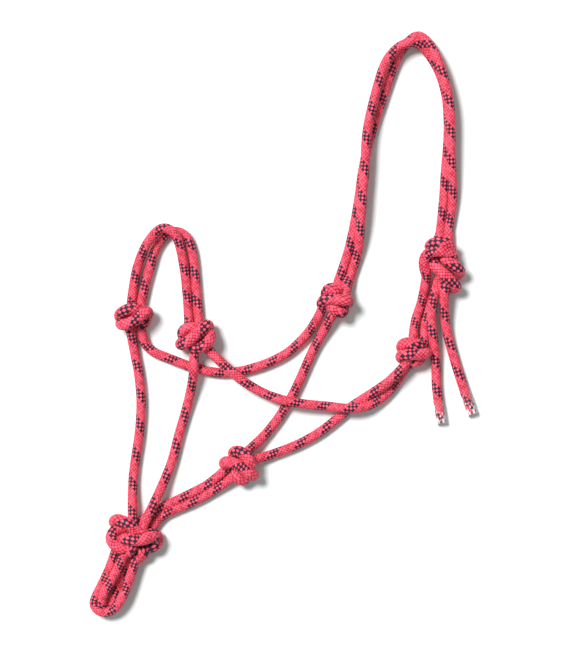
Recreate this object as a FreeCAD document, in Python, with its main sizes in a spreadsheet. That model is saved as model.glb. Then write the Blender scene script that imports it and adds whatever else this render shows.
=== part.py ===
"""Rope halter, lying flat on a surface.

Frame: +Z up, the surface at Z = 0, +Y from the lead loop towards the crown, origin under the middle
of the halter. Lengths are millimetres.

One long braided rope makes the whole halter. Between its knots it runs as strands, each a hollow
braided sheath over a core. The knots are closed solids of rope wraps. The noseband, the crown, the
lead loop and the two tails bend at the knots that they leave, so their strands end there in balls
centred on the fold's axis, and the knot is cut back from them.
"""
import FreeCAD, Part
import math
import os

DIMENSIONS = {
    "rope_radius": 4.0,
    "core_radius": 2.6,
    "wrap_radius": 8.0,
    "knot_middle": 12.2,
    "wrap_taper": 0.05,
    "wrap_lean": 3.0,
    "bevel_share": 0.6,
    "heart_radius": 8.5,
    "stub_length": 18.0,
    "fold_clearance": 0.4,
    "sleeve_wall": 0.4,
    "sleeve_length": 20.0,
    "arc_share": 0.45,
    "cutter_side": 90.0,
}

# Each strand's route: the corners of its centreline, in order. Z = 4 is a strand lying on the
# surface, and Z = 12 to 13 is a strand lying over another.
ROUTES = {
    "noseband_top_strand": (
        (-128.5, 19, 4), (-127.5, 33, 4), (-123.5, 51, 6), (-115.5, 67, 12), (-103.5, 79.5, 13),
        (-92, 74.5, 13), (-86, 60.5, 7), (-81.5, 32, 4), (-80, 4.5, 4),
    ),
    "noseband_under_strand": (
        (-120.5, 16.5, 4), (-117.5, 31.5, 4), (-113, 47.5, 4), (-105.5, 63, 4), (-95, 75, 4),
        (-83.5, 75.5, 4), (-77, 62, 4), (-73.5, 32.5, 4), (-71.5, 3, 4),
    ),
    "crown_under_strand": (
        (47.5, 38, 4), (54.5, 57, 4), (60.5, 80, 4), (66, 105.5, 4), (70.5, 133.5, 4),
        (76.5, 162.5, 4), (84.5, 192, 4), (94.5, 217.5, 4), (103, 234.5, 4), (113, 246, 4),
        (122.5, 243, 6), (132, 229, 11.5), (138.5, 207.5, 12.8), (142.5, 183.5, 12.8),
        (143, 158, 12.8), (143, 134, 11), (144, 117.5, 7.5), (144, 100, 4), (140.5, 82, 4),
    ),
    "crown_top_strand": (
        (58, 43, 4), (63.5, 58.5, 4), (66.5, 74, 9.6), (68, 91, 12.8), (69, 111, 12.8), (70.5, 134, 12.8),
        (72, 162.5, 12.8), (77.5, 193, 12.8), (86, 222, 12.8), (97, 234.5, 12.8),
        (107, 239, 12.8), (115, 235.5, 9), (122.5, 227, 4), (131, 214, 4), (138, 196, 4),
        (140.5, 175, 4), (140, 152, 4), (138, 132, 4), (136.5, 114, 4), (134.5, 95.5, 4),
        (132.5, 78, 4),
    ),
    "far_chin_strand": (
        (-129, -7, 7), (-126.5, -22, 4), (-122, -41.5, 4), (-121, -66.5, 4), (-123, -95, 4),
        (-126, -121, 4), (-128, -143, 5), (-127.5, -164, 11),
    ),
    "near_chin_strand": (
        (-75.5, -24.5, 11), (-75, -35.5, 13.4), (-77, -51, 10), (-79.5, -71.5, 4),
        (-83.5, -93.5, 4), (-92.5, -117.5, 4), (-102, -136, 7), (-108, -149.5, 13),
        (-113, -159.5, 13.5), (-117, -168, 13.3),
    ),
    "far_cheek_strand": (
        (-120.5, -4, 7), (-119, -14.5, 4), (-112, -24, 4), (-99.5, -29, 4), (-81, -35.5, 4),
        (-59.5, -40.5, 4), (-39, -41, 4), (-18, -35.5, 4), (1, -25, 4), (15.5, -11, 4), (25, 3, 6),
        (32, 13.5, 11),
    ),
    "near_cheek_strand": (
        (-65.5, -19.5, 12), (-52, -33, 13), (-35, -48, 12.8), (-18.5, -58, 8), (-2.5, -64, 12.8),
        (16, -68.5, 12.8), (35, -71.5, 12.8), (54.5, -74, 13), (68.5, -72, 10), (80, -64, 5),
        (92.5, -51.5, 4), (104.5, -37, 4),
    ),
    "far_throat_strand": (
        (-31.5, -109, 11), (-21, -98.5, 5), (-10, -86, 4), (0.5, -70.5, 4), (9.5, -54.5, 4),
        (18.5, -35, 4), (25.5, -19.5, 4), (33, -7.5, 5), (40, 4.5, 9),
    ),
    "near_throat_strand": (
        (-26.5, -115.5, 9), (-13, -112, 4), (4, -106, 4), (18, -98.5, 4), (31, -90, 4),
        (45, -79.5, 4), (57.5, -68.5, 4), (69, -59.5, 7.5), (81, -50, 11.5), (91, -41.5, 12.5),
        (100, -32.5, 12.5),
    ),
    "throat_strap_upper": (
        (-48, -122.5, 8), (-59.5, -132.5, 4), (-75.5, -142, 4), (-94.5, -150.5, 4),
        (-109, -159, 4), (-122.5, -168.5, 5),
    ),
    "throat_strap_lower": (
        (-44, -131, 7), (-56, -141, 4), (-73, -151.5, 4), (-90, -159, 4), (-104.5, -166, 4),
        (-113, -176, 5),
    ),
    "tie_loop_left": (
        (120.5, 34, 8), (117, 20.5, 5), (113.5, 7, 4), (111, -3.5, 5), (110.4, -10.8, 8.2),
    ),
    "tie_loop_right": (
        (128.5, 29, 4), (125, 17, 4), (121.5, 4, 4), (120.5, -4.5, 4), (119.6, -11, 5.4),
    ),
    "short_tail": (
        (127.5, 23, 12.8), (125.5, 10, 12.8), (126, -3.5, 12.8), (128.5, -19.5, 8),
        (130, -37.5, 4), (131.5, -52, 4.2), (134, -67.5, 4.4), (135, -85, 4.4),
    ),
    "long_tail": (
        (136.5, 23, 12.8), (138.5, 5, 8), (141.5, -14.5, 4), (147, -35.5, 4), (153.5, -55.5, 4.4),
        (160.5, -76.5, 4.4),
    ),
    "lead_loop_outer": (
        (-142.5, -194, 6), (-147, -206.5, 6), (-153.5, -219.5, 6.5), (-159.5, -231, 7),
        (-161, -238.5, 8), (-154.5, -244.7, 9), (-144, -244.4, 9.5), (-136.5, -236, 10.5),
        (-133.5, -225.5, 10.5), (-129, -213, 9.5), (-125.5, -202, 9.5),
    ),
    "lead_loop_inner": (
        (-135.5, -197.5, 12), (-139, -205.5, 12.4), (-143, -213.5, 12.6), (-147.5, -221, 12.6),
        (-152, -228, 12.6), (-151.5, -235.3, 9.5), (-145.5, -235.3, 4.5), (-141.5, -227, 4),
        (-136.5, -214, 4), (-131, -199.5, 4),
    ),
}

# Each fold: a point on its level axis, the level direction that its strands leave in, how far the
# strands' ends stand above the axis, and the strands that it carries.
FOLDS = {
    "noseband": (
        (-100.0, 10.7, 4.0), (0.284, 0.959), 0.0, ("noseband_top_strand", "noseband_under_strand"),
    ),
    "crown": ((95.0, 60.4, 4.0), (-0.427, 0.904), 0.0, ("crown_under_strand", "crown_top_strand")),
    "lead_loop": (
        (-133.0, -198.5, 8.0), (-0.417, -0.909), 4.0, ("lead_loop_outer", "lead_loop_inner"),
    ),
    "tails": ((132.0, 23.0, 12.8), (0.0, -1.0), 0.0, ("short_tail", "long_tail")),
}

# Each knot: its middle, and its wraps (offset from the middle in X and Y, and the angle in degrees
# that the wrap's upper side runs at, from +X).
KNOTS = {
    "far_nose_knot": ((-126.5, 7), ((-4, 3, 20), (0, -1, 38), (5, -3, 60))),
    "near_nose_knot": ((-73, -11), ((-6, 2, 10), (-1, -1, 38), (5, -1, 75))),
    "far_cheek_knot": ((44, 20.5), ((-3, 6, -20), (1, 0, 5), (2, -7, -20))),
    "near_cheek_knot": ((109, -22), ((-1, 6, 0), (-1, -2, 12), (2, -4, 35))),
    "throat_knot": ((-36.5, -121.5), ((1, 7, -40), (-2, 0, -30), (4, -5, -45))),
    "fiador_knot": (
        (-127.5, -177.5),
        ((-9, 7, -25), (-13, -2, -65), (2, -1, 12), (12, -6, -75), (7, -8, -50)),
    ),
    "tie_knot": ((133, 47), ((-1, 17, 5), (1, 9, -10), (-10, 0, 80), (9, 1, -40), (7, -8, -45))),
}

# Which knot each strand leaves from and runs to.
ENDS = {
    "noseband_top_strand": ("far_nose_knot", "near_nose_knot"),
    "noseband_under_strand": ("far_nose_knot", "near_nose_knot"),
    "crown_under_strand": ("far_cheek_knot", "tie_knot"),
    "crown_top_strand": ("far_cheek_knot", "tie_knot"),
    "far_chin_strand": ("far_nose_knot", "fiador_knot"),
    "near_chin_strand": ("near_nose_knot", "fiador_knot"),
    "far_cheek_strand": ("far_nose_knot", "far_cheek_knot"),
    "near_cheek_strand": ("near_nose_knot", "near_cheek_knot"),
    "far_throat_strand": ("throat_knot", "far_cheek_knot"),
    "near_throat_strand": ("throat_knot", "near_cheek_knot"),
    "throat_strap_upper": ("throat_knot", "fiador_knot"),
    "throat_strap_lower": ("throat_knot", "fiador_knot"),
    "tie_loop_left": ("tie_knot", "near_cheek_knot"),
    "tie_loop_right": ("tie_knot", "near_cheek_knot"),
    "short_tail": ("tie_knot", None),
    "long_tail": ("tie_knot", None),
    "lead_loop_outer": ("fiador_knot", "fiador_knot"),
    "lead_loop_inner": ("fiador_knot", "fiador_knot"),
}

UP = FreeCAD.Vector(0, 0, 1)
ROPE_RADIUS = DIMENSIONS["rope_radius"]

doc = FreeCAD.newDocument("rope_halter")
sheet = doc.addObject("Spreadsheet::Sheet", "Dimensions")
for row, (alias, value) in enumerate(DIMENSIONS.items(), start=1):
    sheet.set(f"A{row}", alias)
    sheet.set(f"B{row}", str(value))
    sheet.setAlias(f"B{row}", alias)
doc.recompute()

kept = []


def keep(thing, label):
    """Marks a finished sub-part, which is written to its own file."""
    thing.Label = label
    kept.append(thing)
    return thing


def facing(direction):
    """The rotation that turns +Z to a direction."""
    return FreeCAD.Rotation(UP, direction)


def corners_of(name):
    return [FreeCAD.Vector(*corner) for corner in ROUTES[name]]


def strand_end(name, at_start):
    """A strand's end and the direction that points out of the strand there."""
    corners = corners_of(name)
    if not at_start:
        corners.reverse()
    outward = (corners[0] - corners[1]).normalize()
    return corners[0], outward


def route_wire(name):
    """Straight runs joined by tangent arcs, each as large as its two runs allow."""
    corners = corners_of(name)
    edges = []
    radii = []
    last = corners[0]
    for before, corner, after in zip(corners, corners[1:], corners[2:]):
        inward = corner - before
        onward = after - corner
        reach = sheet.arc_share * min(inward.Length, onward.Length)
        half_turn = inward.getAngle(onward) / 2
        radius = reach / math.tan(half_turn)
        inward.normalize()
        onward.normalize()
        arc_start = corner - inward * reach
        arc_end = corner + onward * reach
        inside = (onward - inward).normalize()
        arc_middle = corner + inside * (radius / math.cos(half_turn) - radius)
        edges.append(Part.LineSegment(last, arc_start).toShape())
        edges.append(Part.Arc(arc_start, arc_middle, arc_end).toShape())
        radii.append(radius)
        last = arc_end
    edges.append(Part.LineSegment(last, corners[-1]).toShape())
    return Part.Wire(edges), radii


def tube(name, path, radius_cell):
    """A solid round tube along a strand's path."""
    start, outward = strand_end(name, True)
    section = doc.addObject("Part::Circle", f"{name}_{radius_cell}_section")
    section.setExpression("Radius", f"Dimensions.{radius_cell}")
    section.Placement = FreeCAD.Placement(start, facing(outward * -1))
    sweep = doc.addObject("Part::Sweep", f"{name}_{radius_cell}_tube")
    sweep.Sections = [section]
    sweep.Spine = (path, [])
    sweep.Solid = True
    sweep.Transition = "Transformed"
    return sweep


def fold_of(name):
    return next((fold for fold, rest in FOLDS.items() if name in rest[3]), None)


def strand(name):
    """One strand: its sheath, with a ball at each end that folds, and the core inside it."""
    wire, radii = route_wire(name)
    path = doc.addObject("Part::Feature", f"{name}_path")
    path.Shape = wire
    outer = tube(name, path, "rope_radius")
    core = keep(tube(name, path, "core_radius"), f"{name}_core")
    doc.recompute()
    for solid, radius in ((outer, sheet.rope_radius), (core, sheet.core_radius)):
        expected = math.pi * radius**2 * wire.Length
        if abs(solid.Shape.Volume / expected - 1) > 0.01:
            raise SystemExit(f"{name}: volume {solid.Shape.Volume:.0f}, expected {expected:.0f}")
    print(f"{name}: {wire.Length:.0f} mm long, radii", [round(radius, 1) for radius in radii])
    body = outer
    if fold_of(name):
        balls = []
        for at_start, knot in zip((True, False), ENDS[name]):
            if knot:
                ball = doc.addObject("Part::Sphere", f"{name}_ball")
                ball.setExpression("Radius", "Dimensions.rope_radius")
                ball.Placement.Base = strand_end(name, at_start)[0]
                balls.append(ball)
        body = doc.addObject("Part::MultiFuse", f"{name}_outer")
        body.Shapes = [outer, *balls]
    sheath = doc.addObject("Part::Cut", f"{name}_sheath")
    sheath.Base = body
    sheath.Tool = core
    keep(sheath, name)


def fold_cutter(fold, name):
    """A block over everything in front of a fold, starting behind its strands' ends."""
    point, direction, rise, _ = FOLDS[fold]
    outward = FreeCAD.Vector(direction[0], direction[1], 0).normalize()
    along = outward.cross(UP)
    side = sheet.cutter_side
    setback = sheet.rope_radius + sheet.fold_clearance + rise
    middle = FreeCAD.Vector(point[0], point[1], 0) - outward * setback
    block = doc.addObject("Part::Box", f"{name}_{fold}_cutter")
    block.setExpression("Length", "Dimensions.cutter_side * 2")
    block.setExpression("Width", "Dimensions.cutter_side")
    block.setExpression("Height", "Dimensions.cutter_side")
    turn = FreeCAD.Rotation(along, outward, UP, "ZXY")
    block.Placement = FreeCAD.Placement(middle - along * side, turn)
    return block


def wrap(name, turn, across, up, angle, middle):
    """One turn of rope about a knot: a thick disc on edge, bevelled like a rope's round side.

    Each turn is a little smaller than the one before it, and leans the other way.
    """
    radius = f"(Dimensions.wrap_radius * (1 - {turn} * Dimensions.wrap_taper) + Dimensions.rope_radius)"
    bevel = "Dimensions.rope_radius * Dimensions.bevel_share"
    rim = "(2 * Dimensions.rope_radius - 2 * Dimensions.rope_radius * Dimensions.bevel_share)"
    heading = math.radians(angle + 90)
    lean = math.radians(sheet.wrap_lean) * (turn + 1) * (-1) ** turn
    axis = FreeCAD.Vector(math.cos(heading), math.sin(heading), math.tan(lean)).normalize()
    centre = middle + FreeCAD.Vector(across, up, 0)
    half_rim = sheet.rope_radius * (1 - sheet.bevel_share)
    disc = doc.addObject("Part::Cylinder", f"{name}_wrap_rim")
    disc.setExpression("Radius", radius)
    disc.setExpression("Height", rim)
    disc.Placement = FreeCAD.Placement(centre - axis * half_rim, facing(axis))
    pieces = [disc]
    for side in (1, -1):
        cone = doc.addObject("Part::Cone", f"{name}_wrap_side")
        cone.setExpression("Radius1", radius)
        cone.setExpression("Radius2", f"{radius} - {bevel}")
        cone.setExpression("Height", bevel)
        cone.Placement = FreeCAD.Placement(centre + axis * half_rim * side, facing(axis * side))
        pieces.append(cone)
    turn_of_rope = doc.addObject("Part::MultiFuse", f"{name}_wrap")
    turn_of_rope.Shapes = pieces
    return turn_of_rope


def knot(name):
    """A knot: rope wraps about a heart, with a stub of rope to meet each strand that enters."""
    (x, y), wraps = KNOTS[name]
    middle = FreeCAD.Vector(x, y, sheet.knot_middle)
    pieces = [wrap(name, turn, *turn_data, middle) for turn, turn_data in enumerate(wraps)]
    heart = doc.addObject("Part::Sphere", f"{name}_heart")
    heart.setExpression("Radius", "Dimensions.heart_radius")
    heart.Placement.Base = middle
    pieces.append(heart)
    folds = set()
    for strand_name, knots in ENDS.items():
        for at_start, end_knot in zip((True, False), knots):
            if end_knot != name:
                continue
            end, outward = strand_end(strand_name, at_start)
            stub = doc.addObject("Part::Cylinder", f"{name}_stub")
            stub.setExpression("Radius", "Dimensions.rope_radius")
            stub.setExpression("Height", "Dimensions.stub_length")
            stub.Placement = FreeCAD.Placement(end, facing(outward))
            pieces.append(stub)
            if fold_of(strand_name):
                folds.add(fold_of(strand_name))
    body = pieces[0]
    for piece in pieces[1:]:
        joined = doc.addObject("Part::Fuse", f"{name}_rope")
        joined.Base = body
        joined.Tool = piece
        body = joined
    for fold in sorted(folds):
        cut = doc.addObject("Part::Cut", f"{name}_{fold}_cut")
        cut.Base = body
        cut.Tool = fold_cutter(fold, name)
        body = cut
    keep(body, name)


def tail_sleeve(name):
    """The clear sleeve shrunk over a tail's cut end."""
    end, outward = strand_end(name, False)
    base = end - outward * sheet.sleeve_length
    walls = []
    for part, extra in (("outside", " + Dimensions.sleeve_wall"), ("inside", "")):
        wall = doc.addObject("Part::Cylinder", f"{name}_sleeve_{part}")
        wall.setExpression("Radius", "Dimensions.rope_radius" + extra)
        wall.setExpression("Height", "Dimensions.sleeve_length")
        wall.Placement = FreeCAD.Placement(base, facing(outward))
        walls.append(wall)
    sleeve = doc.addObject("Part::Cut", f"{name}_sleeve_ring")
    sleeve.Base, sleeve.Tool = walls
    keep(sleeve, f"{name}_sleeve")


for strand_name in ROUTES:
    strand(strand_name)
for knot_name in KNOTS:
    knot(knot_name)
for tail_name in ("short_tail", "long_tail"):
    tail_sleeve(tail_name)
doc.recompute()

for thing in doc.Objects:
    if {"Invalid", "Error"} & set(thing.State):
        raise SystemExit(f"{thing.Name} failed: {thing.State}")
os.makedirs("parts", exist_ok=True)
for part in kept:
    if part.Shape.isNull() or not part.Shape.isValid() or len(part.Shape.Solids) != 1:
        raise SystemExit(f"{part.Label} isn't one valid solid: {len(part.Shape.Solids)} solids")
    part.Shape.exportStep(f"parts/{part.Label}.step")
print(len(kept), "sub-parts written")
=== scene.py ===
"""Rope halter, lying flat on a pale floor, seen from straight above.

The whole halter is one braided rope. Each stretch between two knots follows its CAD strand's route,
with some of its points moved by a few millimetres. Each knot is tied from the same rope: its turns are
laid out as lines, pushed apart until they only press on each other, and then covered with the braid.
"""
import math
from functools import partial

import bpy
import numpy as np
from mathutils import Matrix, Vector


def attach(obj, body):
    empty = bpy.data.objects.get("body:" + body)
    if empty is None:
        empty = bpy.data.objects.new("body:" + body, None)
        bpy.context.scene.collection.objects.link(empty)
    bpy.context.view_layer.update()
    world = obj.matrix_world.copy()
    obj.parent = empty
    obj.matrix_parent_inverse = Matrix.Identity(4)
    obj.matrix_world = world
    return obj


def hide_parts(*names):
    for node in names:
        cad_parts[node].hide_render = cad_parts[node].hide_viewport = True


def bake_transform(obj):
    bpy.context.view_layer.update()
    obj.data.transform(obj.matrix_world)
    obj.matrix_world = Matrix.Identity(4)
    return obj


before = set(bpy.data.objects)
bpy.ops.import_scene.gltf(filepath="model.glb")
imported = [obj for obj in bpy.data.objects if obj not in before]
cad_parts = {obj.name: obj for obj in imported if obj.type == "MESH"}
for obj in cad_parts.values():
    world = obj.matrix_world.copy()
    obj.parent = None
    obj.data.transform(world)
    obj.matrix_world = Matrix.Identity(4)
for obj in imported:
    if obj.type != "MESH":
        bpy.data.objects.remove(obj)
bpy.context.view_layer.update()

MM = 0.001

# keeps a division off zero
TINY = 1e-9

# the rope: a braid of yarns that lean left and as many that lean right. A few of the left ones are
# dark, which makes the tracer. The usual pitch is how far along the rope a yarn goes round once.
ROPE_RADIUS = 4.0 * MM
YARNS_EACH_WAY = 8
TRACER_YARNS = 3
USUAL_PITCH = 24.6 * MM

# its mesh: points in each ring round the rope, and the distance between rings
RING_POINTS = 64
RING_STEP = 0.4 * MM

# ---------------------------------------------------------------- routes, in millimetres

# Each strand's route: the corners of its smooth line, as x, y and the height of the rope's middle.
ROUTES = {
    "noseband_top_strand": (
        (-128.5, 19, 4), (-127, 33, 4), (-123, 51.5, 6), (-115.5, 68.5, 12), (-103.5, 83, 13),
        (-91, 78, 13), (-86, 62, 7), (-81.5, 32, 4), (-80, 4.5, 4),
    ),
    "noseband_under_strand": (
        (-120.5, 16.5, 4), (-117.5, 31.5, 4), (-113, 47.5, 4), (-108.2, 65.8, 4), (-97.3, 79.2, 4),
        (-83, 77.5, 4), (-76.5, 62.5, 4), (-74, 32.5, 4), (-71.5, 3, 4),
    ),
    "crown_under_strand": (
        (47.5, 38, 4), (54.5, 57, 4), (60, 80.5, 4), (64.5, 106, 4), (68, 134, 4), (75, 163, 4),
        (84.5, 192, 4), (93.3, 218.3, 4), (101.8, 235.3, 4), (113, 246, 4), (121.5, 241.5, 6),
        (130, 227.5, 11.5), (137, 207, 12.8), (142, 183.5, 12.8), (142, 158, 12.8), (142.5, 134, 11),
        (144, 117.5, 7.5), (144, 100, 4), (140.5, 82, 4),
    ),
    "crown_top_strand": (
        (58, 43, 4), (63.5, 58.5, 4), (65, 74.5, 9.6), (66, 91, 12.8), (67.5, 111, 12.8),
        (69.5, 134, 12.8), (70.5, 162.5, 12.8), (77.5, 193, 12.8), (86, 222, 12.8),
        (97, 234.5, 12.8), (107, 239, 12.8), (116, 237.5, 9), (124.5, 228.5, 4), (132.5, 215, 4),
        (138.5, 196.5, 4), (140.5, 175, 4), (140, 152, 4), (138, 132, 4), (137, 114, 4),
        (135.5, 95.5, 4), (133.5, 78, 4),
    ),
    "far_chin_strand": (
        (-129, -7, 7), (-126.5, -22, 4), (-122.3, -41.5, 4), (-119.9, -66.5, 4), (-121.9, -95, 4),
        (-126.4, -121, 4), (-128, -143, 5), (-127.5, -164, 11),
    ),
    "near_chin_strand": (
        (-75.5, -24.5, 11), (-75, -35.5, 13.4), (-77, -51, 8), (-81.5, -71, 4), (-88, -92, 4),
        (-94, -117, 4), (-102, -136, 7), (-108, -149.5, 13), (-113, -159.5, 13.5),
        (-117, -168, 13.3),
    ),
    "far_cheek_strand": (
        (-120.5, -4, 7), (-119, -14.5, 4), (-111.5, -23.4, 4), (-99.2, -28.2, 4), (-80.5, -35.6, 4),
        (-59.5, -41.5, 4), (-39, -41.1, 4), (-18, -35.5, 4), (2, -26.5, 4), (17.5, -12.5, 4),
        (28, 1.5, 6), (33, 12.5, 11),
    ),
    "near_cheek_strand": (
        (-65.5, -19.5, 12), (-52, -33, 13), (-35, -48, 12.8), (-18.5, -58, 8), (-2.5, -64, 12.8),
        (16, -67.8, 12), (35, -69.3, 9.5), (55, -71.8, 13), (68, -71, 10), (81, -65.5, 5),
        (94, -53.5, 4), (104.5, -37, 4),
    ),
    "far_throat_strand": (
        (-31.5, -109, 11), (-20, -99, 5), (-9, -87, 4), (2, -71, 4), (11, -55, 4), (19.5, -35.5, 4),
        (26.5, -20, 4), (33.5, -8, 5), (40, 4.5, 9),
    ),
    "near_throat_strand": (
        (-26.5, -115.5, 9), (-13, -112, 4), (4, -106, 4), (18.5, -99.5, 4), (32, -91.5, 4),
        (46, -80.5, 4), (58.5, -69.5, 4), (71, -61.5, 7.5), (84, -53, 11.5), (94, -45, 12.5),
        (102.5, -35.5, 12.5),
    ),
    "throat_strap_upper": (
        (-48, -122.5, 8), (-59, -133.5, 4), (-75, -142.5, 4), (-94, -151.5, 4), (-109, -159, 4),
        (-122.5, -168.5, 5),
    ),
    "throat_strap_lower": (
        (-44, -131, 7), (-56.5, -140, 4), (-73.5, -150, 4), (-91, -157, 4), (-106, -164, 4),
        (-113, -176, 5),
    ),
    "tie_loop_left": (
        (120.5, 34, 8), (118.5, 20.5, 5), (113.5, 7, 4), (111, -3.5, 5), (110.4, -10.8, 8.2),
    ),
    "tie_loop_right": (
        (128.5, 29, 4), (125, 17, 4), (121.5, 4, 4), (120.5, -4.5, 4), (119.6, -11, 5.4),
    ),
    "short_tail": (
        (127.5, 23, 12.8), (125.5, 10, 12.8), (126, -3.5, 12.8), (128.5, -19.5, 8), (130, -37.5, 4),
        (130, -52, 4.2), (132, -67.5, 4.4), (134.3, -84.2, 4.4),
    ),
    "long_tail": (
        (136.5, 23, 12.8), (136.5, 5, 8), (141, -14.5, 4), (147, -35.5, 4), (153.5, -55.5, 4.4),
        (160.5, -76.5, 4.4),
    ),
    "lead_loop_outer": (
        (-142.5, -194, 6), (-146.5, -206, 6), (-152.5, -219, 6.5), (-158.5, -230.5, 7),
        (-161, -238.5, 8), (-154.5, -244.7, 9), (-145, -243.5, 9.5), (-138, -235.5, 10.5),
        (-133.5, -225.5, 10.5), (-129, -213, 9.5), (-125.5, -202, 9.5),
    ),
    "lead_loop_inner": (
        (-135.5, -197.5, 12), (-139, -205.5, 12.4), (-143, -213.5, 12.6), (-148, -221.5, 12.6),
        (-153, -230.5, 12.6), (-154, -239.5, 9.5), (-147, -240, 4.5), (-142.5, -229, 4),
        (-136.5, -214, 4), (-131, -199.5, 4),
    ),
}

# The rope from the long tail's tip to the short tail's: each strand, and whether its route runs
# against that order.
ROPE = (
    ("long_tail", True), ("crown_under_strand", True), ("far_cheek_strand", True),
    ("noseband_under_strand", False), ("near_chin_strand", False), ("lead_loop_outer", False),
    ("throat_strap_lower", True), ("near_throat_strand", False), ("tie_loop_right", True),
    ("tie_loop_left", False), ("near_cheek_strand", True), ("noseband_top_strand", True),
    ("far_chin_strand", False), ("lead_loop_inner", False), ("throat_strap_upper", True),
    ("far_throat_strand", False), ("crown_top_strand", False), ("short_tail", False),
)

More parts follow.
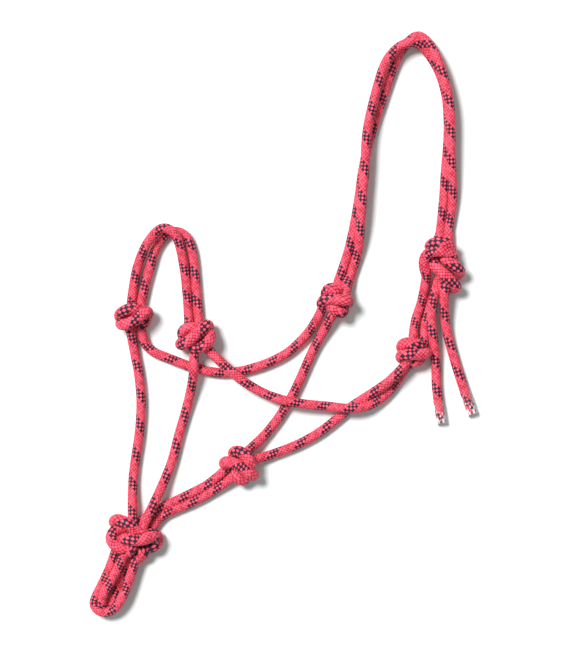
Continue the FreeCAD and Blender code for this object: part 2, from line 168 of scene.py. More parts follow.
# The rope's way through a knot from each strand to the next: the knot, and the corners of the line.
TIES = (
    ("tie_knot", (
        (137, 36.5, 6), (141, 41.5, 4.5), (148, 41, 6), (151, 44, 12), (147, 47.5, 18.5),
        (141.5, 52, 18.8), (137, 55, 15), (136.5, 58.5, 8), (139.5, 65.5, 5.5), (140, 73, 4.5),
    )),
    ("far_cheek_knot", (
        (47, 30.5, 4.5), (47.5, 22, 4.5), (51, 17, 6), (55, 17.5, 10.5), (55, 20.5, 16),
        (50, 20.5, 19.5), (43.5, 20.5, 20.2), (36.5, 21.5, 19), (31.5, 18.5, 15),
    )),
    ("far_nose_knot", (
        (-116.5, 3, 6.5), (-115, 7.5, 8), (-116, 11.5, 13), (-118.5, 9, 18.5), (-123, 4, 20.2),
        (-130, 0.5, 19.5), (-137, -1.5, 15.5), (-138.5, 1.5, 9), (-133.5, 5, 7), (-126.5, 7, 8),
        (-121, 11, 4.5),
    )),
    ("near_nose_knot", (
        (-72, -3.5, 4.5), (-77.5, -11, 4.5), (-85, -14.5, 6.5), (-88, -18, 12), (-84, -17, 17.5),
        (-78, -13, 20), (-71.5, -7.5, 20.2), (-66.5, -3, 18), (-63.5, -0.5, 12.5), (-63, -5, 6),
        (-68, -10.5, 4.5), (-73, -16, 7),
    )),
    ("fiador_knot", (
        (-122.5, -177.5, 12), (-126, -184.5, 10), (-129, -189.5, 12), (-134.5, -191, 15),
        (-140.5, -189, 16), (-145.5, -184.5, 16), (-146, -178.5, 15), (-142, -174, 11.5),
        (-137, -172.5, 6.5), (-134.5, -177.5, 4.5), (-137.5, -186, 4.5),
    )),
    ("fiador_knot", (
        (-120.5, -197, 6), (-117, -195, 9), (-117.5, -192, 12), (-120.5, -188.5, 8), (-116.5, -184.5, 5),
        (-109.5, -183, 8), (-107.5, -179, 14), (-113, -180, 19), (-120, -182.5, 20.2),
        (-126.5, -183, 20.2), (-133.5, -181, 18), (-138, -183, 13), (-134.5, -185.5, 7),
        (-126.5, -184.5, 4.5), (-118, -181, 4.5),
    )),
    ("throat_knot", (
        (-40, -126.5, 4.5), (-36.5, -119, 4.5), (-40, -112, 6), (-43.5, -109, 12), (-38.5, -106.5, 17.5),
        (-32.5, -109.5, 20), (-28.5, -115, 18.5), (-27, -121.5, 12.5), (-30, -128.5, 9),
        (-34, -133.5, 8.5), (-38, -131.5, 13.5), (-40.5, -125.5, 13.5), (-36.5, -119.5, 11.5),
    )),
    ("near_cheek_knot", (
        (105.5, -27, 12.5), (111.5, -23, 11.5), (118, -20.5, 9),
    )),
    ("tie_knot", (
        (132, 36.5, 4.5), (138.5, 44, 5), (144.5, 51, 8), (143.5, 58, 15), (137.5, 61.5, 19.5),
        (130, 62, 20.2), (123, 61, 17.5), (119, 55, 15), (119.5, 48.5, 13), (122, 41.5, 10),
    )),
    ("near_cheek_knot", (
        (111, -14.5, 5), (115.5, -17.5, 5.5), (118, -20, 11), (114, -18, 17.5), (107, -15.5, 18.5),
        (101.5, -16, 16.5), (99.5, -20, 10), (103, -24, 5.5), (110.5, -24.5, 4.5), (117.5, -24, 5.5),
        (122.5, -24, 11), (120, -24.5, 17.5), (113, -25.5, 20.2), (105.5, -26, 20), (99, -26.5, 14),
        (100.5, -30, 7), (106, -29.5, 4.5), (113.5, -29, 5.5), (118, -29.5, 10), (114, -31.5, 12.5),
        (109, -31.5, 9),
    )),
    ("near_nose_knot", (
        (-73, -14.5, 7), (-82, -13, 5), (-86.5, -7.5, 11.5), (-82.5, -3.5, 15.5), (-75.5, -3.5, 14.5),
        (-68, -2.5, 11), (-61, -6, 12), (-61, -13, 17.5), (-66.5, -19, 18.5), (-74, -21, 15.5),
        (-79, -18, 11), (-79, -10, 8), (-79.5, -1.5, 4.5),
    )),
    ("far_nose_knot", (
        (-128.5, 13, 4.5), (-126.5, 5, 4.5), (-120.5, 0.5, 6), (-115, 5, 9), (-115.5, 11, 11.5),
        (-120.5, 13.5, 15), (-126, 13.5, 18.5), (-132, 12.5, 19), (-137.5, 9.5, 15), (-139, 5, 9),
        (-133.5, 1, 4.5),
    )),
    ("fiador_knot", (
        (-126, -171.5, 11), (-126.5, -182, 11), (-129, -190.5, 12),
    )),
    ("fiador_knot", (
        (-120.5, -190.5, 5), (-114.5, -188.5, 9), (-109, -187, 11), (-106, -183, 11),
        (-106.5, -179.5, 7.5), (-112, -178, 4.5), (-117.5, -179, 7), (-123, -176, 15),
        (-128.5, -170.5, 20), (-135, -166, 19.5), (-141.5, -164.5, 16.5), (-144.5, -168.5, 10.5),
        (-138.5, -171, 5), (-130, -171, 4.5),
    )),
    ("throat_knot", (
        (-51.5, -118.5, 13), (-48, -115.5, 18.5), (-42, -117, 20.2), (-35.5, -120.5, 20.2),
        (-30, -124.5, 18.8), (-24, -128.5, 13), (-27, -127.5, 6), (-34, -121.5, 4.5), (-36.5, -115, 6.5),
    )),
    ("far_cheek_knot", (
        (43.5, 9.5, 5), (47, 15.5, 4.5), (49.5, 22.5, 10), (47.5, 28, 16.5), (42.5, 31, 18),
        (38, 30, 15), (35.5, 25.5, 11.5), (37, 20, 12), (40.5, 15, 16), (44, 11.5, 18.5), (49, 9, 16),
        (52, 10, 11), (50, 14.5, 9), (50.5, 21, 11.5), (52.5, 29, 9), (54.5, 35, 5.5),
    )),
    ("tie_knot", (
        (132, 70.5, 4.5), (127.5, 64.5, 5), (123, 64.5, 10), (126, 68.5, 16), (133, 69.5, 19.5),
        (139.5, 68.5, 18.5), (142.5, 64.5, 12), (139.5, 59.5, 6.5), (132.5, 57, 6), (126, 55, 9),
        (126, 51.5, 14.5), (132, 46, 18), (139, 39, 19), (146, 33, 16.5), (147.5, 30, 10.5),
        (141, 31, 6.5), (133.5, 33.5, 8),
    )),
)

# Where each strand's dark tracer first crosses its upper side, in millimetres along the rope from
# the strand's start in ROPE, and how far apart the crossings are.
TRACER = {
    "long_tail": (10.2, 26.3), "crown_under_strand": (5.8, 25.5), "far_cheek_strand": (18.8, 22.3),
    "noseband_under_strand": (14.8, 25), "near_chin_strand": (26.5, 27.6),
    "lead_loop_outer": (24.2, 21.2), "throat_strap_lower": (22, 24),
    "near_throat_strand": (18.8, 25.8), "tie_loop_right": (15.2, 21), "tie_loop_left": (14, 21),
    "near_cheek_strand": (16.5, 23.1), "noseband_top_strand": (19, 23.3),
    "far_chin_strand": (4, 25.2), "lead_loop_inner": (6, 20), "throat_strap_upper": (20.5, 23.8),
    "far_throat_strand": (5.8, 21.2), "crown_top_strand": (14.8, 25.4), "short_tail": (4, 25.5),
}

STRANDS = [name for name, _ in ROPE]
KNOTS = sorted({knot for knot, _ in TIES})


# ---------------------------------------------------------------- lines

# points that each corner adds to a smooth line
CURVE_POINTS = 24


def nurbs_line(name, corners):
    """Points along the smooth NURBS line whose control points are the corners."""
    curve = bpy.data.curves.new(name, "CURVE")
    curve.dimensions = "3D"
    spline = curve.splines.new("NURBS")
    spline.points.add(len(corners) - 1)
    for point, corner in zip(spline.points, corners):
        point.co = (*corner, 1.0)
    spline.order_u = 3
    spline.use_endpoint_u = True
    curve.resolution_u = CURVE_POINTS
    holder = bpy.data.objects.new(name, curve)
    mesh = bpy.data.meshes.new_from_object(holder)
    line = np.array([vertex.co for vertex in mesh.vertices], float)
    bpy.data.objects.remove(holder)
    bpy.data.curves.remove(curve)
    bpy.data.meshes.remove(mesh)
    return line


def lengths_along(line):
    return np.concatenate([[0.0], np.cumsum(np.linalg.norm(np.diff(line, axis=0), axis=1))])


def evened(line, step):
    """The same line with points a step apart."""
    along = lengths_along(line)
    count = max(2, round(along[-1] / step) + 1)
    wanted = np.linspace(0, along[-1], count)
    return np.stack([np.interp(wanted, along, line[:, axis]) for axis in range(3)], axis=1)


def unit(vectors):
    return vectors / np.linalg.norm(vectors, axis=-1, keepdims=True)


def tangents(line):
    return unit(np.gradient(line, axis=0))


def level_sides(line):
    """A level direction square to the line at each of its points."""
    return unit(np.cross(tangents(line), (0, 0, 1)))


def smoothed(line, rounds):
    """The line with its kinks eased, its ends left where they are."""
    line = line.copy()
    for _ in range(rounds):
        line[2:-2] += 0.5 * ((line[1:-3] + line[3:-1]) / 2 - line[2:-2])
    return line


def strand_lines():
    """Each strand's even line in ROPE's order and direction."""
    lines = {}
    for name, backwards in ROPE:
        line = nurbs_line(name, np.array(ROUTES[name], float) * MM)
        if backwards:
            line = line[::-1]
        lines[name] = evened(line, RING_STEP)
    return lines


LINES = strand_lines()


# ---------------------------------------------------------------- knots

KNOT_STEP = 1.0 * MM
# the rope goes straight on for this far where it leaves a strand for a knot
LEAD = 4.0 * MM
# how near two ropes' middles come where they are pulled against each other
PRESSED = 0.84 * 2 * ROPE_RADIUS
LOWEST_MIDDLE = 0.97 * ROPE_RADIUS
SETTLING_ROUNDS = 260
# a kink eases by the first share, then most of that is given back, so that the turns don't draw in
EASING_SHARES = (0.42, -0.4)
# in each round and along each axis, how much of the way back to its laid out place a point goes,
# and how much of the push from its neighbours it takes
OUTLINE_HOLD = np.array([0.07, 0.07, 0.012])
PUSH = np.array([0.45, 0.45, 0.7])
# points at each end of a way that stay where they are
HELD_POINTS = 3
# points of one rope nearer than this, along it, don't press on each other
OWN_STRETCH = 11 * MM
# the points of a strand beside a knot that its turns are kept off: from, to and every so many
STRAND_FROM, STRAND_TO, STRAND_EVERY = 12, 60, 3
# how many times a settled line is smoothed
KNOT_EASING = 16


def settled(ways, fixed):
    """Pushes a knot's lines apart until no two are nearer than pressed ropes are."""
    points = np.concatenate(ways)
    start = points.copy()
    owner = np.concatenate([np.full(len(way), index) for index, way in enumerate(ways)])
    order = np.concatenate([np.arange(len(way)) for way in ways])
    free = np.ones(len(points), bool)
    first = np.cumsum([0] + [len(way) for way in ways])
    for low, high in zip(first, first[1:]):
        free[low:low + HELD_POINTS] = False
        free[high - HELD_POINTS:high] = False
    own_points = round(OWN_STRETCH / KNOT_STEP)
    same_stretch = owner[:, None] == owner[None]
    same_stretch &= np.abs(order[:, None] - order[None]) < own_points
    before = np.roll(np.arange(len(points)), 1)
    after = np.roll(np.arange(len(points)), -1)
    for _ in range(SETTLING_ROUNDS):
        for share in EASING_SHARES:
            middle = (points[before] + points[after]) / 2
            points[free] += share * (middle - points)[free]
        points[free] += OUTLINE_HOLD * (start - points)[free]
        for others in (points, fixed):
            gap = points[:, None] - others[None]
            distance = np.linalg.norm(gap, axis=2) + TINY
            push = np.clip(PRESSED - distance, 0, None)
            if others is points:
                push[same_stretch] = 0
            move = (gap / distance[..., None] * push[..., None]).sum(axis=1)
            touching = np.maximum((push > 0).sum(axis=1), 1)
            points[free] += (PUSH * move / touching[:, None])[free]
        points[free, 2] = np.maximum(points[free, 2], LOWEST_MIDDLE)
    return [points[low:high] for low, high in zip(first, first[1:])]


def way_line(place):
    """The rope's line through a knot, from one strand's end to the next one's start."""
    before = LINES[STRANDS[place]]
    after = LINES[STRANDS[place + 1]]
    out_of = unit(before[-1] - before[-4])
    into = unit(after[3] - after[0])
    corners = [before[-1], before[-1] + out_of * LEAD]
    corners += [np.array(corner) * MM for corner in TIES[place][1]]
    corners += [after[0] - into * LEAD, after[0]]
    return evened(nurbs_line(f"way_{place}", corners), KNOT_STEP)


def tie(knot):
    """The settled lines through one knot, by their place in TIES."""
    places = [place for place, (name, _) in enumerate(TIES) if name == knot]
    ways = [way_line(place) for place in places]
    fixed = []
    for place in places:
        fixed.append(LINES[STRANDS[place]][-STRAND_TO:-STRAND_FROM:STRAND_EVERY])
        fixed.append(LINES[STRANDS[place + 1]][STRAND_FROM:STRAND_TO:STRAND_EVERY])
    done = settled(ways, np.concatenate(fixed))
    return {place: evened(smoothed(way, KNOT_EASING), RING_STEP) for place, way in zip(places, done)}


WAYS = {}
for knot in KNOTS:
    WAYS.update(tie(knot))

# the strands that are lengthened at both ends, and by how much
SHORT_STRANDS = ("tie_loop_right", "tie_loop_left")
RUN_ON = 5 * MM


def run_on(name):
    """Lengthens a short strand into the knots at both its ends."""
    place = STRANDS.index(name)
    count = round(RUN_ON / RING_STEP)
    before, after = WAYS[place - 1], WAYS[place]
    LINES[name] = np.concatenate([before[-count - 1:-1], LINES[name], after[1:count + 1]])
    WAYS[place - 1] = before[:-count]
    WAYS[place] = after[count:]
    first, pitch = TRACER[name]
    TRACER[name] = (first + RUN_ON / MM, pitch)


for name in SHORT_STRANDS:
    run_on(name)


def whole_rope():
    """Every line in order along the rope: strands at the even places, ways through knots between them."""
    lines = []
    for place, name in enumerate(STRANDS):
        lines.append(LINES[name])
        if place in WAYS:
            lines.append(WAYS[place])
    return lines


WHOLE_ROPE = whole_rope()


# ---------------------------------------------------------------- the tracer's turns

# The knot after each of these strands was pulled tight unevenly, so the tracer has slipped along the
# rope by this many turns halfway through it.
TRACER_SLIP = {
    "long_tail": 0.24, "crown_under_strand": 0.2, "noseband_under_strand": 0.26,
    "near_chin_strand": -0.38, "lead_loop_outer": 0.1, "throat_strap_lower": 0.25,
    "near_cheek_strand": 0.34, "lead_loop_inner": 0.34, "throat_strap_upper": 0.45,
    "far_throat_strand": -0.1, "crown_top_strand": -0.22,
}


def strand_turns(name):
    """How many times the tracer has gone round, along a strand. Its middle faces up at whole turns past
    the upright share."""
    upright = 0.25 - (TRACER_YARNS / 2) / YARNS_EACH_WAY
    first, pitch = TRACER[name]
    return (lengths_along(LINES[name]) - first * MM) / (pitch * MM) + upright


def way_turns(place):
    """The tracer's turns through a knot, and how far the rope itself twists, so that the braid meets
    the strands on both sides. A whole crossing is an eighth of a turn, so the twist comes in eighths."""
    start = strand_turns(STRANDS[place])[-1]
    end = strand_turns(STRANDS[place + 1])[0]
    length = lengths_along(WAYS[place])
    natural = start + length[-1] / USUAL_PITCH
    end += round(natural - end)
    twist = round((end - natural) / 2 * YARNS_EACH_WAY) / YARNS_EACH_WAY
    share = length / length[-1]
    slip = TRACER_SLIP.get(STRANDS[place], 0) * np.sin(math.pi * share)
    return start + share * (end - twist - start) + slip, twist


def carried(line, start_side, end_side, extra):
    """A side direction for each point, carried along the line and turned evenly, to end the extra
    share of a turn past end_side."""
    along = tangents(line)
    sides = np.zeros_like(line)
    side = start_side
    for index, tangent in enumerate(along):
        side = side - tangent * (side @ tangent)
        side /= np.linalg.norm(side)
        sides[index] = side
    wanted = end_side - along[-1] * (end_side @ along[-1])
    last_up = np.cross(sides[-1], along[-1])
    turn = math.atan2(wanted @ last_up, wanted @ sides[-1]) + extra * 2 * math.pi
    share = lengths_along(line) / lengths_along(line)[-1] * turn
    ups = np.cross(sides, along)
    return sides * np.cos(share)[:, None] + ups * np.sin(share)[:, None]


# ---------------------------------------------------------------- rope meshes

YARN_RELIEF = 0.28 * MM
# the share of a yarn's height that lies at the rope's radius, and the share that it loses at its ends
USUAL_HEIGHT = 0.55
END_FALL = 0.8
TIP_ROUNDING = 0.8 * MM
# in a knot the rope is wider and lower by these shares, except near its mouths
SQUASHED_WIDER = 0.2
SQUASHED_LOWER = 0.04
KNOT_MOUTH = 8 * MM
# how near another rope's middle has to be to press on a ring, and the margin of the search for them
PRESSING_REACH = 2.3 * ROPE_RADIUS
SEARCH_MARGIN = 2.4 * ROPE_RADIUS
# points left out where two lines are the same rope going on, and every so many used of the rest
JOINT_POINTS = 30
PRESSING_EVERY = 2
NOT_OWN = -1.0


def yarn_height(u, v):
    """How far the top yarn stands up, 0 to 1, at u round the rope and v along it in turns."""
    leaning_left = YARNS_EACH_WAY * (u - v)
    leaning_right = YARNS_EACH_WAY * (u + v)
    left_on_top = np.mod(np.floor(leaning_left) + np.floor(leaning_right), 2) < 0.5
    across = np.where(left_on_top, np.mod(leaning_left, 1), np.mod(leaning_right, 1)) * 2 - 1
    along = np.where(left_on_top, np.mod(leaning_right, 1), np.mod(leaning_left, 1)) * 2 - 1
    return np.sqrt(np.clip(1 - across**2, 0, 1)) * (1 - np.abs(along)**3 * END_FALL)


def squeeze(line):
    """How much the rope is squashed along each axis, at each point of its line through a knot."""
    along = lengths_along(line)
    share = np.clip(np.minimum(along, along[-1] - along) / KNOT_MOUTH, 0, 1)
    share = share * share * (3 - 2 * share)
    wider = 1 + SQUASHED_WIDER * share
    return np.stack([wider, wider, 1 - SQUASHED_LOWER * share], axis=1)


def tip_share(line, tips):
    """The share of its full radius at each point of the line: the rope's cut ends are rounded off."""
    along = lengths_along(line)
    share = np.ones(len(line))
    for tip, distance in (("start", along), ("end", along[-1] - along)):
        if tip in tips:
            back = np.clip(1 - distance / TIP_ROUNDING, 0, 1)
            share *= np.sqrt(1 - back**2)
    return share


def pressing_points(place):
    """Points that could press on the line at this place along the rope. The fourth column is a point's
    number on a knot's own line, which can press on itself, or NOT_OWN."""
    line = WHOLE_ROPE[place]
    low = line.min(axis=0) - SEARCH_MARGIN
    high = line.max(axis=0) + SEARCH_MARGIN
    found = []
    for other_place, other in enumerate(WHOLE_ROPE):
        if other_place == place:
            continue
        if other_place == place + 1:
            other = other[JOINT_POINTS:]
        if other_place == place - 1:
            other = other[:-JOINT_POINTS]
        points = other[::PRESSING_EVERY]
        inside = ((points > low) & (points < high)).all(axis=1)
        found.append(np.c_[points[inside], np.full(inside.sum(), NOT_OWN)])
    in_knot = place % 2 == 1
    if in_knot:
        found.append(np.c_[line[::PRESSING_EVERY], np.arange(0, len(line), PRESSING_EVERY)])
    return np.concatenate(found)


def pressed(line, offset, others):
    """Flattens each ring against the ropes beside it: no point passes the plane halfway to them."""
    offset = offset.copy()
    for index, centre in enumerate(line):
        near = others[np.linalg.norm(others[:, :3] - centre, axis=1) < PRESSING_REACH]
        own = near[:, 3]
        near = near[(own == NOT_OWN) | (np.abs(own - index) * RING_STEP > OWN_STRETCH)]
        if not len(near):
            continue
        towards = near[:, :3] - centre
        facing = offset[index] @ towards.T
        limit = (towards**2).sum(axis=1)[None] / np.maximum(2 * facing, TINY)
        share = np.where(facing > 0, limit, np.inf).min(axis=1)
        offset[index] *= np.minimum(share, 1)[:, None]
    return offset


def directions(line, sides, count):
    """The directions from each point of a line to the points of the ring round it."""
    angle = 2 * math.pi * np.arange(count) / count
    ups = np.cross(sides, tangents(line))
    return np.cos(angle)[None, :, None] * sides[:, None] + np.sin(angle)[None, :, None] * ups[:, None]


def braided_rings(line, sides, turns, others, squashed, tips):
    """The rings of points of one length of braided rope, none of them below the floor."""
    height = yarn_height(np.arange(RING_POINTS)[None] / RING_POINTS, turns[:, None])
    radius = ROPE_RADIUS + YARN_RELIEF * (height - USUAL_HEIGHT)
    offset = directions(line, sides, RING_POINTS) * (radius * tip_share(line, tips)[:, None])[..., None]
    if squashed:
        offset = offset * squeeze(line)[:, None]
    rings = line[:, None] + pressed(line, offset, others)
    rings[..., 2] = np.maximum(rings[..., 2], 0.0)
    return rings


def quads(rows, columns, closed):
    """The faces between rings, with one more row of them from the last ring to the first if closed."""
    row = np.arange(rows if closed else rows - 1)[:, None]
    column = np.arange(columns)[None]
    next_row = (row + 1) % rows
    next_column = (column + 1) % columns
    corners = [row * columns + column, row * columns + next_column,
               next_row * columns + next_column, next_row * columns + column]
    return np.stack(corners, axis=-1).reshape(-1, 4)


def quad_uvs(levels, columns, closed):
    """For the same faces' corners, u round the rope and v, which each ring has from levels."""
    rows = len(levels) if closed else len(levels) - 1
    u_low, v_low = np.broadcast_arrays(np.arange(columns)[None] / columns, levels[:rows, None])
    u_high = u_low + 1 / columns
    v_high = np.broadcast_to(np.roll(levels, -1)[:rows, None], u_low.shape)
    corners = [(u_low, v_low), (u_high, v_low), (u_high, v_high), (u_low, v_high)]
    return np.stack([np.stack(corner, axis=-1) for corner in corners], axis=2).reshape(-1, 2)


def new_piece(name, vertices, faces, uvs, material):
    """A smooth mesh of quads in the scene, with its UV map called rope."""
    mesh = bpy.data.meshes.new(name)
    mesh.vertices.add(len(vertices))
    mesh.vertices.foreach_set("co", vertices.astype(np.float32).ravel())
    mesh.loops.add(faces.size)
    mesh.loops.foreach_set("vertex_index", faces.astype(np.int32).ravel())
    mesh.polygons.add(len(faces))
    mesh.polygons.foreach_set("loop_start", np.arange(0, faces.size, 4, dtype=np.int32))
    mesh.polygons.foreach_set("use_smooth", np.ones(len(faces), bool))
    layer = mesh.uv_layers.new(name="rope")
    layer.data.foreach_set("uv", uvs.astype(np.float32).ravel())
    mesh.update()
    mesh.validate()
    mesh.materials.append(material)
    piece = bpy.data.objects.new(name, mesh)
    bpy.context.scene.collection.objects.link(piece)
    return piece


def rope_piece(name, runs, squashed=False, tips=()):
    """One mesh of one or more lengths of braided rope. Each run is its line, its side directions, its
    turns (v) and the points that press on it. The tips are the ends that are cut."""
    vertices = []
    faces = []
    uvs = []
    count = 0
    for line, sides, turns, others in runs:
        rings = braided_rings(line, sides, turns, others, squashed, tips)
        vertices.append(rings.reshape(-1, 3))
        faces.append(quads(len(line), RING_POINTS, closed=False) + count)
        uvs.append(quad_uvs(turns, RING_POINTS, closed=False))
        count += len(vertices[-1])
    return new_piece(name, np.concatenate(vertices), np.concatenate(faces), np.concatenate(uvs), BRAID)


# ---------------------------------------------------------------- material nodes

def node(tree, kind, **values):
    made = tree.nodes.new(kind)
    for key, value in values.items():
        setattr(made, key, value)
    return made


def fill_sockets(tree, sockets, values):
    """Sets each socket to its number or colour, or links it to its value's socket."""
    for socket, value in zip(sockets, values):
        if isinstance(value, (int, float, tuple)):
            socket.default_value = value
        else:
            tree.links.new(value, socket)


def math_node(tree, operation, *values):
    made = node(tree, "ShaderNodeMath", operation=operation)
    fill_sockets(tree, made.inputs, values)
    return made.outputs[0]


def mix_colour(tree, factor, first, second):
    made = node(tree, "ShaderNodeMix", data_type="RGBA")
    fill_sockets(tree, (made.inputs["Factor"], made.inputs[6], made.inputs[7]), (factor, first, second))
    return made.outputs[2]


def combined(tree, *values):
    made = node(tree, "ShaderNodeCombineXYZ")
    fill_sockets(tree, made.inputs, values)
    return made.outputs[0]


def noise(tree, place, detail):
    """The height of a noise at each place, 0 to 1."""
    made = node(tree, "ShaderNodeTexNoise")
    made.inputs["Scale"].default_value = 1.0
    made.inputs["Detail"].default_value = detail
    tree.links.new(place, made.inputs["Vector"])
    return made.outputs[0]


def rope_uv(tree):
    """The two sockets of the UV map called rope: u round the rope, v along it."""
    uv = node(tree, "ShaderNodeUVMap", uv_map="rope")
    split = node(tree, "ShaderNodeSeparateXYZ")
    tree.links.new(uv.outputs[0], split.inputs[0])
    return split.outputs[0], split.outputs[1]


def new_material(name, **settings):
    """A material, its tree and its Principled shader, whose inputs are set by their names."""
    material = bpy.data.materials.new(name)
    material.use_nodes = True
    shader = material.node_tree.nodes["Principled BSDF"]
    for key, value in settings.items():
        shader.inputs[key.replace("_", " ")].default_value = value
    return material, material.node_tree, shader


# ---------------------------------------------------------------- braid

# the plain pink and navy, each with a darker copy as painted shade for the crevices between the yarns and a
# lighter copy as a painted highlight on their backs
PINK = (0.73, 0.034, 0.072, 1)
PINK_PAINTED_SHADE = (0.07, 0.001, 0.005, 1)
PINK_PAINTED_HIGHLIGHT = (0.95, 0.115, 0.185, 1)
NAVY_PAINTED_SHADE = (0.002, 0.002, 0.006, 1)
NAVY_PAINTED_HIGHLIGHT = (0.016, 0.018, 0.042, 1)
# where on the scale of painted light the painted shade, the plain pink and the painted highlight are
PAINTED_SHADE_AT, PINK_AT, PAINTED_HIGHLIGHT_AT = 0.3, 0.6, 0.95
# how far a dark yarn spreads past the crossing that it fills
DARK_SPREAD = 0.08
# how much of its height a yarn loses where it dips under the next, and how sharply
DIP = 0.55
DIP_POWER = 4.0
# a yarn is two ends side by side: the share of its height that the groove between them takes
END_GROOVE = 0.35
FILAMENTS_ACROSS = 14.0
FILAMENTS_ALONG = 1.6
FILAMENT_HEIGHT = 0.25
# makes every crossing's filaments different
LEFT_YARN_SHIFT, RIGHT_YARN_SHIFT = 7.3, 3.1
# what a point's painted light takes from its height (painted shade in the crevices, a painted highlight on
# the yarns' backs), and from its crossing's own shade of colour
PAINTED_LIGHT_FROM_HEIGHT = 0.78
LIGHT_FROM_SHADE = 0.4
LEAST_ROUGHNESS = 0.5
ROUGHER_FILAMENTS = 0.25
BUMP_DEPTH = 0.25 * MM


def place_on_yarn(tree, left, right, left_yarn, right_yarn):
    """The place across and along the yarn that lies on top, both 0 to 1."""
    calculate = partial(math_node, tree)
    parity = calculate("FLOORED_MODULO", calculate("ADD", left_yarn, right_yarn), 2)
    right_on_top = calculate("GREATER_THAN", parity, 0.5)
    left_place = calculate("FRACT", left)
    right_place = calculate("FRACT", right)

    def pick(when_left, when_right):
        change = calculate("SUBTRACT", when_right, when_left)
        return calculate("MULTIPLY_ADD", change, right_on_top, when_left)

    return pick(left_place, right_place), pick(right_place, left_place)


def yarn_relief(tree, across, along):
    """The height of the yarn's round back, and of the two ends that lie in it side by side."""
    calculate = partial(math_node, tree)
    centred = calculate("MULTIPLY_ADD", across, 2.0, -1.0)
    back = calculate("SUBTRACT", 1.0, calculate("MULTIPLY", centred, centred))
    lengthwise = calculate("ABSOLUTE", calculate("MULTIPLY_ADD", along, 2.0, -1.0))
    dips = calculate("MULTIPLY_ADD", calculate("POWER", lengthwise, DIP_POWER), -DIP, 1.0)
    ends = calculate("ABSOLUTE", calculate("SINE", calculate("MULTIPLY", across, math.pi * 2)))
    ends = calculate("POWER", ends, 0.5)
    grooves = calculate("MULTIPLY_ADD", ends, END_GROOVE, 1 - END_GROOVE)
    return calculate("MULTIPLY", calculate("MULTIPLY", back, dips), grooves)


def tracer_share(tree, left, right, left_yarn):
    """1 where a dark yarn is on top, which is a little wider than the crossing it fills, and 0 elsewhere."""
    calculate = partial(math_node, tree)
    waves = [calculate("SINE", calculate("MULTIPLY", lean, math.pi)) for lean in (left, right)]
    on_top = calculate("GREATER_THAN", calculate("MULTIPLY", *waves), -DARK_SPREAD)
    number = calculate("FLOORED_MODULO", left_yarn, YARNS_EACH_WAY)
    return calculate("MULTIPLY", calculate("LESS_THAN", number, TRACER_YARNS), on_top)


def braid_material():
    """Pink braid with a dark tracer: each yarn lies over and under the ones that cross it. Its colour is
    darkened as painted shade in the crevices and lightened as a painted highlight on the yarns' backs.
    """
    material, tree, shader = new_material(
        "braided_rope", Sheen_Weight=0.06, Sheen_Roughness=0.4, Specular_IOR_Level=0.28)
    calculate = partial(math_node, tree)
    u, v = rope_uv(tree)
    left = calculate("MULTIPLY", calculate("SUBTRACT", u, v), YARNS_EACH_WAY)
    right = calculate("MULTIPLY", calculate("ADD", u, v), YARNS_EACH_WAY)
    left_yarn = calculate("FLOOR", left)
    right_yarn = calculate("FLOOR", right)
    across, along = place_on_yarn(tree, left, right, left_yarn, right_yarn)
    # filaments run along each yarn
    crossing = calculate("MULTIPLY_ADD", left_yarn, LEFT_YARN_SHIFT,
                         calculate("MULTIPLY", right_yarn, RIGHT_YARN_SHIFT))
    filaments = noise(tree, combined(tree, calculate("MULTIPLY", across, FILAMENTS_ACROSS),
                                     calculate("MULTIPLY", along, FILAMENTS_ALONG), crossing), detail=2.0)
    height = calculate("MULTIPLY_ADD", filaments, FILAMENT_HEIGHT, yarn_relief(tree, across, along))
    # each crossing has its own shade
    shade = node(tree, "ShaderNodeTexWhiteNoise", noise_dimensions="3D")
    tree.links.new(combined(tree, left_yarn, right_yarn), shade.inputs["Vector"])
    shade_light = calculate("MULTIPLY", shade.outputs[0], LIGHT_FROM_SHADE)
    # painted light: shade painted in the crevices and a highlight painted on the yarns' backs, from their
    # height, plus each crossing's own shade of colour
    light = calculate("MULTIPLY_ADD", height, PAINTED_LIGHT_FROM_HEIGHT, shade_light)
    ramp = node(tree, "ShaderNodeValToRGB")
    painted_shade, painted_highlight = ramp.color_ramp.elements
    painted_shade.position, painted_shade.color = PAINTED_SHADE_AT, PINK_PAINTED_SHADE
    painted_highlight.position, painted_highlight.color = PAINTED_HIGHLIGHT_AT, PINK_PAINTED_HIGHLIGHT
    ramp.color_ramp.elements.new(PINK_AT).color = PINK
    tree.links.new(light, ramp.inputs[0])
    # the navy tracer gets the same painted shade and painted highlight
    navy = mix_colour(tree, light, NAVY_PAINTED_SHADE, NAVY_PAINTED_HIGHLIGHT)
    dark = tracer_share(tree, left, right, left_yarn)
    tree.links.new(mix_colour(tree, dark, ramp.outputs[0], navy), shader.inputs["Base Color"])
    tree.links.new(calculate("MULTIPLY_ADD", filaments, ROUGHER_FILAMENTS, LEAST_ROUGHNESS),
                   shader.inputs["Roughness"])
    bump = node(tree, "ShaderNodeBump")
    bump.inputs["Strength"].default_value = 1.0
    bump.inputs["Distance"].default_value = BUMP_DEPTH
    tree.links.new(height, bump.inputs["Height"])
    tree.links.new(bump.outputs[0], shader.inputs["Normal"])
    return material


BRAID = braid_material()


# ---------------------------------------------------------------- strands and knots

# the body named for each strand that isn't the halter itself, though only pieces of the halter are put on a
# body
BODIES = {
    "noseband_top_strand": "noseband", "noseband_under_strand": "noseband",
    "crown_under_strand": "crown", "crown_top_strand": "crown",
    "lead_loop_outer": "lead_loop", "lead_loop_inner": "lead_loop",
    "short_tail": "short_tail", "long_tail": "long_tail",
}
TIPS = {"long_tail": ("start",), "short_tail": ("end",)}
# every piece of braided rope, kept as it is finished
ROPE_PIECES = []


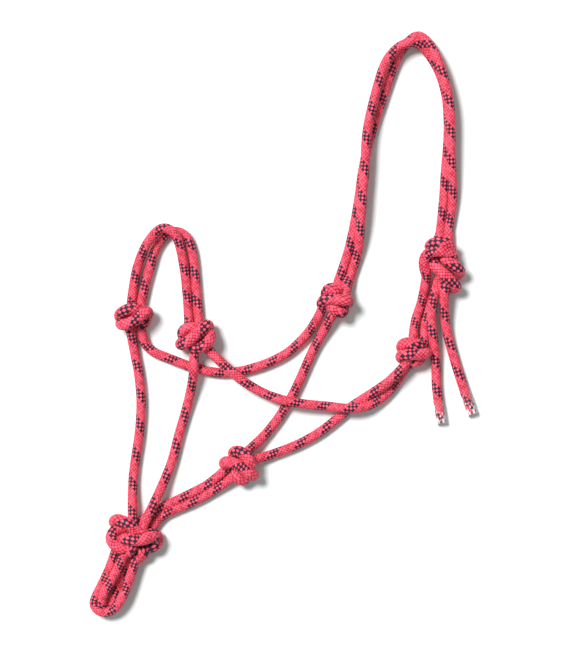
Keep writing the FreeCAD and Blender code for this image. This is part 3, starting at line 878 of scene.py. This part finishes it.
def finished(piece, body):
    """Keeps a piece of rope in ROPE_PIECES and puts it on the halter's body; a piece of any other body only
    has its place baked into its mesh.
    """
    ROPE_PIECES.append(piece)
    if body == "halter":
        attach(piece, body)
        return
    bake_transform(piece)


def strand(place):
    """One strand's braid, which takes the place of its sheath and its core."""
    name, backwards = ROPE[place]
    line = LINES[name]
    tips = TIPS.get(name, ())
    run = (line, level_sides(line), strand_turns(name), pressing_points(2 * place))
    piece = rope_piece(f"{name}_braid", [run], tips=tips)
    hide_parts(name, f"{name}_core")
    finished(piece, BODIES.get(name, "halter"))


def tied_knot(knot):
    """All the ways of the rope through one knot, as one piece."""
    runs = []
    for place, (name, _) in enumerate(TIES):
        if name != knot:
            continue
        before, after = LINES[STRANDS[place]], LINES[STRANDS[place + 1]]
        turns, twist = way_turns(place)
        sides = carried(WAYS[place], level_sides(before)[-1], level_sides(after)[0], twist)
        runs.append((WAYS[place], sides, turns, pressing_points(2 * place + 1)))
    piece = rope_piece(f"{knot}_braid", runs, squashed=True)
    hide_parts(knot)
    finished(piece, "halter")


for place in range(len(ROPE)):
    strand(place)

for knot in KNOTS:
    tied_knot(knot)


# ---------------------------------------------------------------- clear sleeves on the cut ends

SLEEVE_LENGTH = 20 * MM
SLEEVE_GAP = 0.12 * MM
SLEEVE_WALL = 0.4 * MM
SLEEVE_RING = 48
# the sleeve's own waves: their height as a share of its radius, the distance along it in which they
# go through one radian, and by how many radians they are ahead or behind round it
RIPPLE = 0.012
RIPPLE_RADIAN = 1.3 * MM
RIPPLE_SLANT = 3.4
# painted glints, white streaks where the light's reflection would shine, are where the noise is above this,
# with edges this sharp
GLINT_FROM = 0.53
GLINT_EDGE = 16.0
# how fast that noise changes round the sleeve and along it
GLINTS_ROUND = 3.4
GLINTS_ALONG = 4.5
# what the noise gains along the two edges, where most painted glints go, and loses by the sleeve's end
# towards the rope
GLINTS_AT_EDGES = 0.2
GLINT_FADE = 0.24
# the clear plastic's colour, which is also the white of the painted glints
SLEEVE_AND_GLINT_COLOUR = (0.9, 0.88, 0.89, 1)
# how much the clear plastic hides, and how much more a painted glint does
CLEAR_ALPHA = 0.02
PAINTED_GLINT_ALPHA = 0.92


def clear_material():
    """Clear plastic, with painted glints: white streaks along its length where reflections would shine."""
    material, tree, shader = new_material("clear_sleeve", Base_Color=SLEEVE_AND_GLINT_COLOUR, Roughness=0.15)
    calculate = partial(math_node, tree)
    u, v = rope_uv(tree)
    angle = calculate("MULTIPLY", u, 2 * math.pi)
    side = calculate("COSINE", angle)
    place = combined(tree, calculate("MULTIPLY", side, GLINTS_ROUND),
                     calculate("MULTIPLY", calculate("SINE", angle), GLINTS_ROUND),
                     calculate("MULTIPLY", v, GLINTS_ALONG))
    painted_glints = noise(tree, place, detail=3.0)
    # most painted glints run along the two edges
    edge_glints = calculate("MULTIPLY", calculate("MULTIPLY", side, side), GLINTS_AT_EDGES)
    strength = calculate("SUBTRACT", calculate("ADD", painted_glints, edge_glints), GLINT_FROM)
    strength = calculate("SUBTRACT", strength, calculate("MULTIPLY", v, GLINT_FADE))
    painted_glint = node(tree, "ShaderNodeClamp")
    tree.links.new(calculate("MULTIPLY", strength, GLINT_EDGE), painted_glint.inputs[0])
    alpha = calculate("MULTIPLY_ADD", painted_glint.outputs[0], PAINTED_GLINT_ALPHA, CLEAR_ALPHA)
    tree.links.new(alpha, shader.inputs["Alpha"])
    return material


CLEAR = clear_material()


def sleeve(name):
    """A clear shrunk tube, wall and all, from the tail's cut end back along it."""
    line = LINES[name] if "start" in TIPS[name] else LINES[name][::-1]
    line = line[lengths_along(line) <= SLEEVE_LENGTH]
    along = lengths_along(line)
    outward = directions(line, level_sides(line), SLEEVE_RING)
    angle = 2 * math.pi * np.arange(SLEEVE_RING) / SLEEVE_RING
    ripple = 1 + RIPPLE * np.sin(along[:, None] / RIPPLE_RADIAN + RIPPLE_SLANT * np.sin(angle)[None])
    inside = (ROPE_RADIUS + SLEEVE_GAP) * ripple
    outside = (ROPE_RADIUS + SLEEVE_GAP + SLEEVE_WALL) * ripple
    outer = line[:, None] + outward * outside[..., None]
    inner = line[:, None] + outward * inside[..., None]
    rings = np.concatenate([outer, inner[::-1]])
    rings[..., 2] = np.maximum(rings[..., 2], 0.0)
    levels = np.concatenate([along, along[::-1]]) / SLEEVE_LENGTH
    faces = quads(len(rings), SLEEVE_RING, closed=True)
    uvs = quad_uvs(levels, SLEEVE_RING, closed=True)
    piece = new_piece(f"{name}_clear_sleeve", rings.reshape(-1, 3), faces, uvs, CLEAR)
    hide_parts(f"{name}_sleeve")
    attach(piece, name)


for name in TIPS:
    sleeve(name)


# ---------------------------------------------------------------- floor, light and camera

# from the floor's middle to its sides, in metres
FLOOR_REACH = 6.0
FLOOR_COLOUR = (0.91, 0.95, 0.94, 1)
# each sun: its strength, how many degrees across it is, and the direction that it shines from
KEY_SUN = (3.85, 20, (-0.54, 0.45, 1.0))
FRONT_SUN = (0.3, 30, (0.1, -0.1, 1.0))
SKY_COLOUR = (0.9, 1, 1, 1)
SKY_STRENGTH = 0.33
VIEW_HEIGHT = 550.8 * MM
VIEW_CENTRE_X = 0.4 * MM
LENS_MM = 200
SENSOR_MM = 36
# nothing farther from the camera than this is seen, in metres
FARTHEST_SEEN = 20


def stage():
    """The pale floor under the halter."""
    mesh = bpy.data.meshes.new("floor")
    corners = [(-1, -1), (1, -1), (1, 1), (-1, 1)]
    mesh.from_pydata([(x * FLOOR_REACH, y * FLOOR_REACH, 0) for x, y in corners], [], [(0, 1, 2, 3)])
    floor = bpy.data.objects.new("floor", mesh)
    bpy.context.scene.collection.objects.link(floor)
    material, _, _ = new_material(
        "pale_floor", Base_Color=FLOOR_COLOUR, Roughness=0.9, Specular_IOR_Level=0.0)
    mesh.materials.append(material)


def sun(name, strength, degrees_across, shines_from):
    light = bpy.data.lights.new(name, "SUN")
    light.energy = strength
    light.angle = math.radians(degrees_across)
    holder = bpy.data.objects.new(name, light)
    holder.rotation_euler = Vector(shines_from).to_track_quat("Z", "Y").to_euler()
    bpy.context.scene.collection.objects.link(holder)
    return holder


def lights():
    """A large soft key sun, a weak front sun on the rope alone, and an even sky."""
    sun("key", *KEY_SUN)
    front = sun("front", *FRONT_SUN)
    lit = bpy.data.collections.new("filled")
    for piece in ROPE_PIECES:
        lit.objects.link(piece)
    front.light_linking.receiver_collection = lit
    world = bpy.data.worlds.new("studio")
    world.use_nodes = True
    sky = world.node_tree.nodes["Background"]
    sky.inputs["Color"].default_value = SKY_COLOUR
    sky.inputs["Strength"].default_value = SKY_STRENGTH
    bpy.context.scene.world = world
    bpy.context.scene.view_settings.view_transform = "Standard"


def camera():
    """Straight above the halter, so far up that the view is nearly without perspective."""
    data = bpy.data.cameras.new("camera")
    data.lens = LENS_MM
    data.sensor_width = SENSOR_MM
    data.clip_end = FARTHEST_SEEN
    eye = bpy.data.objects.new("camera", data)
    eye.location = (VIEW_CENTRE_X, 0, VIEW_HEIGHT * LENS_MM / SENSOR_MM)
    bpy.context.scene.collection.objects.link(eye)
    bpy.context.scene.camera = eye


stage()
lights()
camera()
